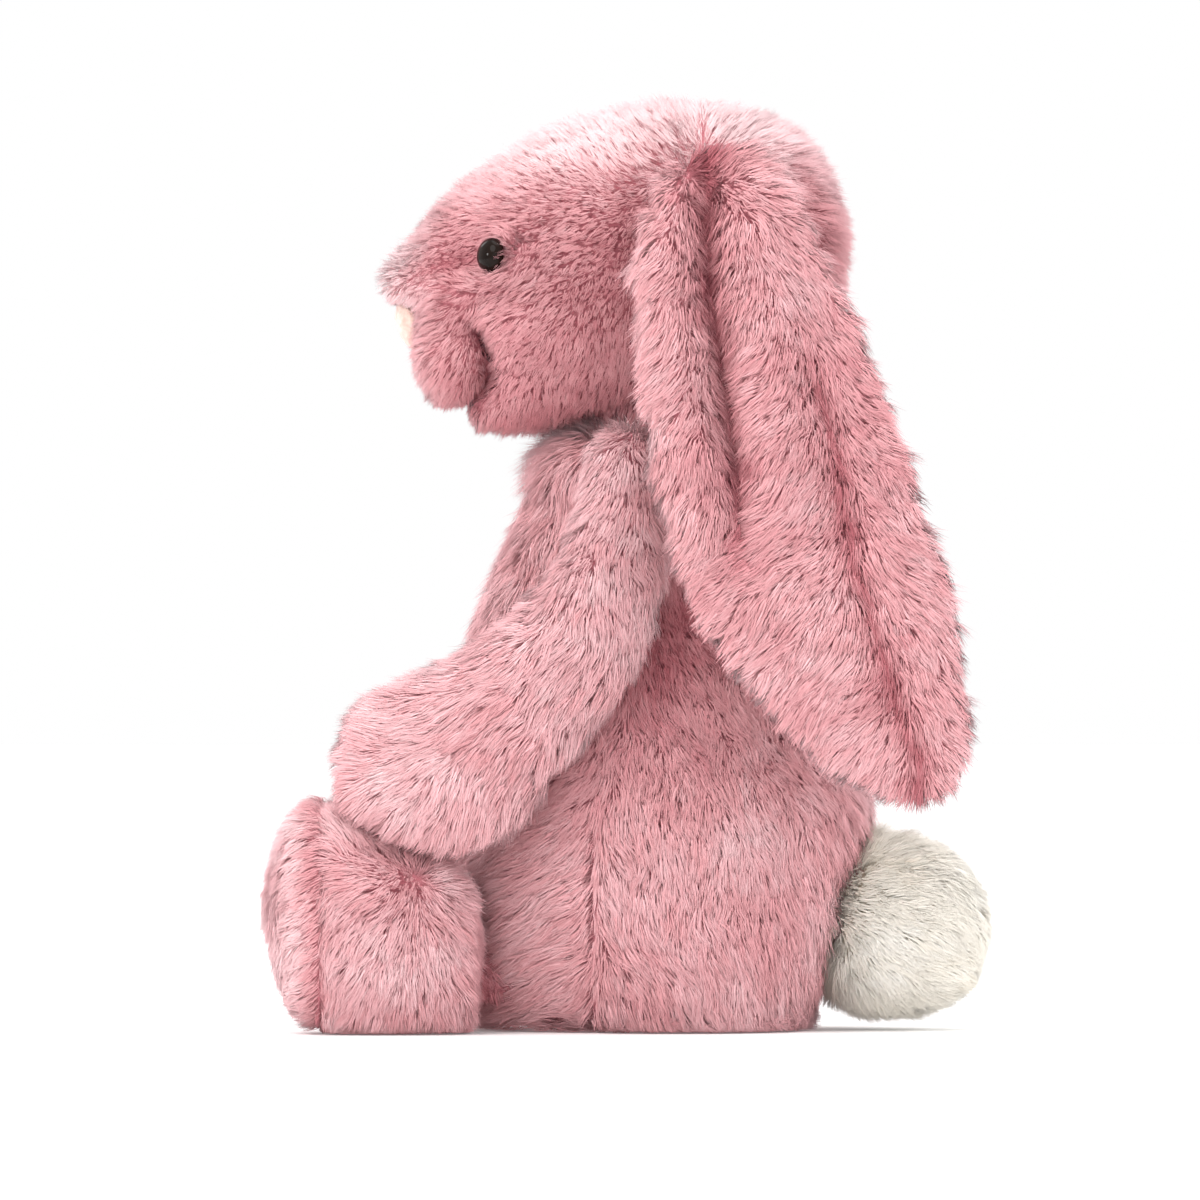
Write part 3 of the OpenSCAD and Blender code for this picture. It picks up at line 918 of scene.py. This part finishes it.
# the thread lies on the bottom of the crease
HV, HT = mesh_arrays(head_me)
HN = vertex_normals(HV, HT)
HP = HV / MM
near = np.array([(((HP - q) ** 2) * np.array([0.12, 1, 1])).sum(1).argmin() for q in path])
bottom = HP[near] + HN[near] * 0.6
ker = np.ones(11) / 11
pad = np.concatenate([np.repeat(bottom[:1], 5, 0), bottom, np.repeat(bottom[-1:], 5, 0)])
bottom = np.stack([np.convolve(pad[:, i], ker, "valid") for i in range(3)], 1)
finish_piece("mouth_stitch_thread", "head", tube("mouth_stitch_thread", bottom, 0.62, 10, 2.2), thread_mat, "sewing_thread", "mouth_thread")

# ------------------------------------------------------------------ ears
GROOVE = [(18, 212), (20, 184), (23.5, 159), (27, 134), (29, 118)]
PART = [(38, 200), (42.5, 173.5), (50, 146), (55, 118.5), (62.5, 93.5), (71, 71)]


def along(pts, z):
    p = np.array(sorted(pts, key=lambda a: a[1]), float)
    return np.interp(z, p[:, 1], p[:, 0])


def shape_ear(me, outer):
    inset(me, 1.6, lambda P: 1 - 0.9 * smooth01(P[:, 1] - along(PART, P[:, 2]), 4, 10) * smooth01(P[:, 2], 200, 180)
          - 0.8 * smooth01(P[:, 1] - along(GROOVE, P[:, 2]), -10, -14) * smooth01(P[:, 2], 110, 140), only=(0.4, 1, 1))
    V, T = mesh_arrays(me)
    N = vertex_normals(V, T)
    P = V / MM
    y, z = P[:, 1], P[:, 2]
    face = np.clip(N[:, 0] * (1 if outer else -1), 0, 1)
    g = along(GROOVE, z)
    fade = smooth01(z, 108, 150)
    if outer:
        d = -7.4 * np.exp(-((y - g) / 4.8) ** 2) * fade
        d += 4.4 * np.exp(-((y - (g - 11)) / 7.5) ** 2) * fade
        d += 3.4 * np.exp(-((y - (g + 12)) / 8.5) ** 2) * fade
        d += -2.2 * np.exp(-((y - along(PART, z)) / 3.0) ** 2) * smooth01(z, 182, 160)
        d += 1.6 * smooth01(z, 125, 90)
    else:
        d = 0.6 * np.ones(len(P))
    # the two layers press together along their edges
    V[:, 0] += (-2.6 * np.clip(-N[:, 0], 0, 1) if outer else 1.8 * np.clip(N[:, 0], 0, 1)) * MM
    rear = np.clip(N[:, 1], 0, 1) * smooth01(y - along(PART, z), 2, 10) * smooth01(z, 196, 176) * smooth01(z, 96, 116)
    V[:, 1] += 2.6 * rear * MM
    V[:, 2] -= 1.6 * np.clip(-N[:, 2], 0, 1) * smooth01(z, 84, 74) * MM
    V = V + np.stack([np.sign(N[:, 0]) * d * face, np.zeros(len(P)), np.zeros(len(P))], 1) * MM
    set_coords(me, V)
    return me


def ear_flow(P, N):
    y, z = P[:, 1], P[:, 2]
    g = along(GROOVE, z)
    F = const((0, 0, -1), P)
    F[:, 1] += np.tanh((y - along(PART, z)) / 5.0) * 0.85 * smooth01(z, 190, 165) + 0.25 * smooth01(z, 165, 190)
    # the roll in front of the groove is combed forward and down
    w = smooth01(z, 112, 135) * smooth01(y - g, 4, -3)
    F[:, 1] = F[:, 1] * (1 - w) - 0.55 * w
    # the root fans out from a point
    d = P - np.array([0, 14, 214])
    d[:, 0] = 0
    w = smooth01(z, 188, 212)[:, None]
    return F * (1 - w) + unit(d) * w


def ear_painted_shade(P, N):
    y, z = P[:, 1], P[:, 2]
    # painted shade along the part line and in the groove
    t = -0.48 * np.exp(-((y - along(PART, z)) / 3.0) ** 2) * smooth01(z, 182, 155)
    t += -0.74 * np.exp(-((y - along(GROOVE, z)) / 4.6) ** 2) * smooth01(z, 108, 135)
    return t - 0.06


outer_me = shape_ear(refined(remeshed(outer_shell("left_ear_outer"), 0.0026, 3), 1), True)
inner_me = shape_ear(refined(remeshed(outer_shell("left_ear_inner"), 0.0026, 3), 1), False)
for side, k in (("left", 1), ("right", -1)):
    om = outer_me.copy() if k == 1 else mirrored(outer_me, "right_ear_outer_plush")
    im = inner_me.copy() if k == 1 else mirrored(inner_me, "right_ear_inner_plush")
    skin(f"{side}_ear_outer_plush", f"{side}_ear", om, rose_skin, f"{side}_ear_outer")
    skin(f"{side}_ear_inner_plush", f"{side}_ear", im, rose_skin, f"{side}_ear_inner")
    grow(f"{side}_ear_fur", f"{side}_ear", om, ear_flow, rose_fibres, 2.8, 6.8, 0.30,
         31 if k == 1 else 32, tone=ear_painted_shade, keep=lambda P, N, k=k: N[:, 0] * k > -0.55, lift=(0.95, 0.44))
    grow(f"{side}_ear_lining_fur", f"{side}_ear", im, ear_flow, rose_fibres, 1.9, 4.8, 0.34,
         33 if k == 1 else 34, keep=lambda P, N, k=k: N[:, 0] * k < 0.25, lift=(0.85, 0.32), tone=lambda P, N: -0.02 * np.ones(len(P)))

# ------------------------------------------------------------------ arms
ARM_LINE = np.array([[0.8, 150], [0.4, 142], [-0.8, 132], [-4.8, 116], [-11.6, 100.8], [-26.8, 83.2],
                     [-42.5, 72], [-54, 68.6], [-63, 68.4], [-74, 68.6]])
def arm_inset(P):
    under = smooth01(P[:, 2], 66, 56) * smooth01(P[:, 1], -10, -24)
    return (smooth01(P[:, 2], 148, 132) * 0.8 + 0.2) * (1 - 0.85 * under)


arm_me = inset(remeshed(outer_shell("left_arm_cover"), 0.003, 4), 3.6, arm_inset)
arm_me = refined(inflated(arm_me, 4.0, 0.0018), 1)
bumps(arm_me, [(43, -36, 52, 11, 2.2)])


def arm_flow(P, N):
    best = np.full(len(P), 1e9)
    tan = np.zeros((len(P), 2))
    off = np.zeros((len(P), 2))
    for a, b in zip(ARM_LINE[:-1], ARM_LINE[1:]):
        ab = b - a
        t = np.clip(((P[:, 1:] - a) @ ab) / (ab @ ab), 0, 1)
        q = P[:, 1:] - a - t[:, None] * ab
        d = (q ** 2).sum(1)
        hit = d < best
        best[hit] = d[hit]
        tan[hit] = ab / np.linalg.norm(ab)
        off[hit] = q[hit]
    F = np.zeros_like(P)
    F[:, 1:] = tan
    low = smooth01(off[:, 1], 8, -14)
    paw = smooth01(P[:, 1], -20, -50)
    F[:, 2] -= (0.55 + 0.35 * paw) * low
    F[:, 1] += 0.30 * low * paw
    F[:, 2] += 0.22 * smooth01(off[:, 1], 5, 16) * paw
    return F


# ------------------------------------------------------------------ legs
SEAM_Y = -76.8


def leg_inset(P):
    return (0.25 + 0.75 * smooth01(P[:, 1], -34, -44)) * (0.15 + 0.85 * smooth01(P[:, 2], 1, 9))


leg_me = inset(remeshed(outer_shell("left_leg_cover"), 0.003, 3), 2.4, leg_inset)
leg_me = refined(inflated(leg_me, 4.0, 0.0015), 1)
V, T = mesh_arrays(leg_me)
Q = V / MM
# the front end lies flat behind the domed sole panel
fr = Q[:, 1] < SEAM_Y
V[fr, 1] = (SEAM_Y - (SEAM_Y - Q[fr, 1]) * 0.22) * MM
set_coords(leg_me, V)
V, T = mesh_arrays(leg_me)
N0 = vertex_normals(V, T)
Q = V / MM
side_on = smooth01(1 - np.abs(N0[:, 1]), 0.2, 0.7)
d = -3.6 * smooth01(Q[:, 1], -42, -37) * side_on + 2.4 * np.exp(-((Q[:, 1] + 45) / 4.5) ** 2) * smooth01(Q[:, 2], 15, 32) * side_on
d += -2.4 * np.exp(-((Q[:, 1] - SEAM_Y) / 2.4) ** 2) * side_on + 1.2 * np.exp(-((Q[:, 1] + 62) / 10.0) ** 2)
V = V + N0 * d[:, None] * MM
# the hip end is drawn in between the foot and the body
k = smooth01(Q[:, 1], -42.5, -38)
V[:, 0] += (19 * MM - V[:, 0]) * 0.75 * k
V[:, 2] += (13 * MM - V[:, 2]) * 0.55 * k
V[:, 2] = np.maximum(V[:, 2], 0.0)
set_coords(leg_me, V)


def leg_flow(P, N):
    k = np.where(P[:, 0] > 0, 1.0, -1.0)
    c = np.stack([k * 46, np.full(len(P), -53.0), np.full(len(P), 39.0)], 1)
    F = unit(P - c)
    F[:, 2] -= 0.25
    # beside the seam the pile leans back
    F[:, 1] += 0.8 * np.exp(-((P[:, 1] - SEAM_Y) / 5.0) ** 2)
    return F


def leg_painted_shade(P, N):
    # painted shade in the sole seam's crease and on the hip end between the foot and the body
    return -0.24 * np.exp(-((P[:, 1] - SEAM_Y) / 1.8) ** 2) + 0.03 - 0.50 * smooth01(P[:, 1], -43, -38)


def leg_len(P, N):
    return (1 - 0.35 * smooth01(P[:, 1], -42, -38)) * (1 - 0.25 * np.exp(-((P[:, 1] - SEAM_Y) / 2.0) ** 2))


def sole_mesh(side, k):
    """The furry front of the foot: a crowned panel, gathered into its seam"""
    n = 56
    cx, cz, a0, b0 = 33.0 * k, 29.6, 19.6, 26.0
    e = 0.85
    prof = [(-74.6, 0.90), (-75.4, 0.955), (-76.2, 0.985)]
    for i in range(1, 10):
        f = math.radians(9.5 * i)
        prof.append((-76.4 - 10.8 * math.sin(f), math.cos(f) ** 0.9 * 0.99))
    verts, faces = [], []
    for y, q in prof:
        for i in range(n):
            t = 2 * math.pi * i / n
            c, s_ = math.cos(t), math.sin(t)
            verts.append(((cx + a0 * q * abs(c) ** e * math.copysign(1, c)) * MM, y * MM,
                          (cz + b0 * q * abs(s_) ** e * math.copysign(1, s_)) * MM))
    m = len(prof)
    for r in range(m - 1):
        for i in range(n):
            j = (i + 1) % n
            faces.append((r * n + i, r * n + j, (r + 1) * n + j, (r + 1) * n + i))
    verts.append((cx * MM, (prof[0][0] + 0.2) * MM, cz * MM))
    verts.append((cx * MM, -87.25 * MM, cz * MM))
    for i in range(n):
        j = (i + 1) % n
        faces.append((j, i, m * n))
        faces.append(((m - 1) * n + i, (m - 1) * n + j, m * n + 1))
    me = bpy.data.meshes.new(f"{side}_sole_plush")
    me.from_pydata(verts, [], faces)
    bm = bmesh.new()
    bm.from_mesh(me)
    bmesh.ops.recalc_face_normals(bm, faces=bm.faces)
    bm.to_mesh(me)
    bm.free()
    me = refined(me, 1)
    bumps(me, [(33, -87, 34, 13, 1.2)], floor=0.0)
    return me


def sole_flow(P, N):
    k = np.where(P[:, 0] > 0, 33.0, -33.0)
    F = const((0, -0.9, -0.45), P)
    front = smooth01(P[:, 1], -82, -86)[:, None]
    out = np.stack([(P[:, 0] - k) * 0.25, np.zeros(len(P)), P[:, 2] - 40], 1) / 18.0
    out[:, 2] -= 0.5
    return F * (1 - front) + out * front


for side, k in (("left", 1), ("right", -1)):
    am = arm_me.copy() if k == 1 else mirrored(arm_me, "right_arm_plush")
    skin(f"{side}_arm_plush", f"{side}_arm", am, rose_skin, f"{side}_arm_cover")
    grow(f"{side}_arm_fur", f"{side}_arm", am, arm_flow, rose_fibres, 2.9, 7.4, 0.30,
         41 if k == 1 else 42, lift=(0.92, 0.44), clump=2.5, clump_pull=0.32,
         tone=lambda P, N: 0.04 + 0.03 * smooth01(P[:, 1], -20, -60))
    lm = leg_me.copy() if k == 1 else mirrored(leg_me, "right_leg_plush")
    skin(f"{side}_leg_plush", f"{side}_leg", lm, rose_skin, f"{side}_leg_cover")
    grow(f"{side}_leg_fur", f"{side}_leg", lm, leg_flow, rose_fibres, 3.1, 6.2, 0.28,
         51 if k == 1 else 52, floor=0.0, tone=leg_painted_shade, long_scale=leg_len,
         keep=lambda P, N: ~(P[:, 1] < SEAM_Y - 0.2) & (N[:, 2] > -0.95))
    sm = sole_mesh(side, k)
    skin(f"{side}_sole_plush", f"{side}_leg", sm, rose_skin, f"{side}_sole_panel")
    # the sole fur is darker along its seam: painted shade in the crease
    grow(f"{side}_sole_fur", f"{side}_leg", sm, sole_flow, rose_fibres, 2.8, 5.4, 0.30,
         61 if k == 1 else 62, floor=0.0, tone=lambda P, N: 0.13 - 0.30 * np.exp(-((P[:, 1] - SEAM_Y) / 1.8) ** 2),
         keep=lambda P, N: (N[:, 1] < 0.3) & (P[:, 1] < -75.6))

# ------------------------------------------------------------------ tail
tail_me = refined(inflated(inset(remeshed(outer_shell("tail_cover"), 0.003, 6), 1.3, lambda P: smooth01(np.linalg.norm(P - np.array([0, 54, 29]), axis=1), 12, 22)), 4.0, 0.0015), 1)
TAIL_ROOT = np.array([0, 54, 29])


def tail_flow(P, N):
    return unit(P - TAIL_ROOT) + const((0, 0.1, -0.25), P)


V, T = mesh_arrays(tail_me)
Q = V / MM
w = smooth01(Q[:, 1], 68, 58)
c = np.array([0, 0, 28.0])
V[:, 0] += Q[:, 0] * 0.10 * w * MM
V[:, 2] += ((Q[:, 2] - 28) * 0.12 * w - 1.6) * MM
V[:, 1] -= 1.0 * MM
set_coords(tail_me, V)
skin("tail_plush", "tail", tail_me, cream_skin, "tail_cover")
grow("tail_fur", "tail", tail_me, tail_flow, cream_fibres, 5.2, 6.4, 0.28, 71,
     lift=(1.05, 0.55), clump=3.0, clump_pull=0.12, swirl=0.2, wild=0.2, floor=0.0,
     long_scale=lambda P, N: 1 + 0.25 * smooth01(np.linalg.norm(P - TAIL_ROOT, axis=1), 24, 14),
     tone=lambda P, N: 0.20 - 0.30 * smooth01(np.linalg.norm(P - TAIL_ROOT, axis=1), 20, 12),
     contrast=(0.04, 0.0))

# ------------------------------------------------------------------ neck
neck_me = refined(remeshed(outer_shell("neck_stuffing"), 0.003, 2), 1)
skin("neck_plush", "neck", neck_me, rose_skin, "neck_stuffing")
grow("neck_fur", "neck", neck_me, lambda P, N: const((0, 0, -1), P), rose_fibres, 2.2, 6.0, 0.34, 81,
     keep=lambda P, N: (P[:, 2] > 140) & (P[:, 2] < 158), lift=(0.8, 0.35), tone=lambda P, N: -0.15 * np.ones(len(P)))

# ------------------------------------------------------------------ carried-over CAD nodes
fill_mat = cloth_material("fibre_fill_loft", lin(226, 224, 218), lin(248, 247, 243), 420.0, weave=False, bump=0.9, sheen=0.4)
calico_mat = cloth_material("calico_weave", lin(214, 202, 178), lin(236, 227, 208), 1500.0, bump=0.7)
label_mat = cloth_material("woven_satin_label", lin(226, 222, 214), lin(246, 244, 238), 2600.0, bump=0.3, rough=0.55)
pellet_mat = cloth_material("pellet_polyethylene", lin(206, 210, 212), lin(236, 238, 238), 600.0, rough=0.35, weave=False, bump=0.8, sheen=0.0)
washer_mat = cloth_material("washer_nylon", lin(196, 196, 192), lin(222, 222, 218), 300.0, rough=0.45, weave=False, bump=0.15, sheen=0.0)
for node, body, under in (("torso_stuffing", "torso", 5.0), ("head_stuffing", "head", 10.0),
                          ("left_arm_stuffing", "left_arm", 4.4), ("right_arm_stuffing", "right_arm", 4.4),
                          ("left_leg_stuffing", "left_leg", 3.4), ("right_leg_stuffing", "right_leg", 3.4),
                          ("tail_stuffing", "tail", 2.2)):
    me = inset(remeshed(outer_shell(node), 0.004, 4), under,
               (lambda P: smooth01(P[:, 1], -33, -46)) if "leg" in node else
               (lambda P: smooth01(P[:, 2], 147, 134)) if "arm" in node else None)
    if "leg" in node:
        V, T = mesh_arrays(me)
        V[:, 1] = np.clip(V[:, 1], (SEAM_Y + 1.0) * MM, -0.046)
        set_coords(me, V)
    finish_piece(node.replace("stuffing", "fill"), body, me, fill_mat, "fibre_fill", node)
FINISH = {"stuffing": fill_mat, "pouch": calico_mat, "label": label_mat, "pellets": pellet_mat, "washer": washer_mat,
          "thread": thread_mat}
for node, o in NODES.items():
    for key, mat in FINISH.items():
        if key in node:
            if not o.data.materials:
                o.data.materials.append(mat)
            for q in range(len(o.data.materials)):
                o.data.materials[q] = mat

# ------------------------------------------------------------------ floor
fl = bpy.data.meshes.new("floor")
fl.from_pydata([(-4, -4, 0), (4, -4, 0), (4, 4, 0), (-4, 4, 0)], [], [(0, 1, 2, 3)])
floor_obj = new_object("floor", fl)
floor_mat, nt, p = base_material("studio_floor", (0.94, 0.94, 0.94), 0.8)
p.inputs["Emission Color"].default_value = (1, 1, 1, 1)
p.inputs["Emission Strength"].default_value = 0.10
fl.materials.append(floor_mat)

print("FUR TRIS", FUR_TRIS[0])
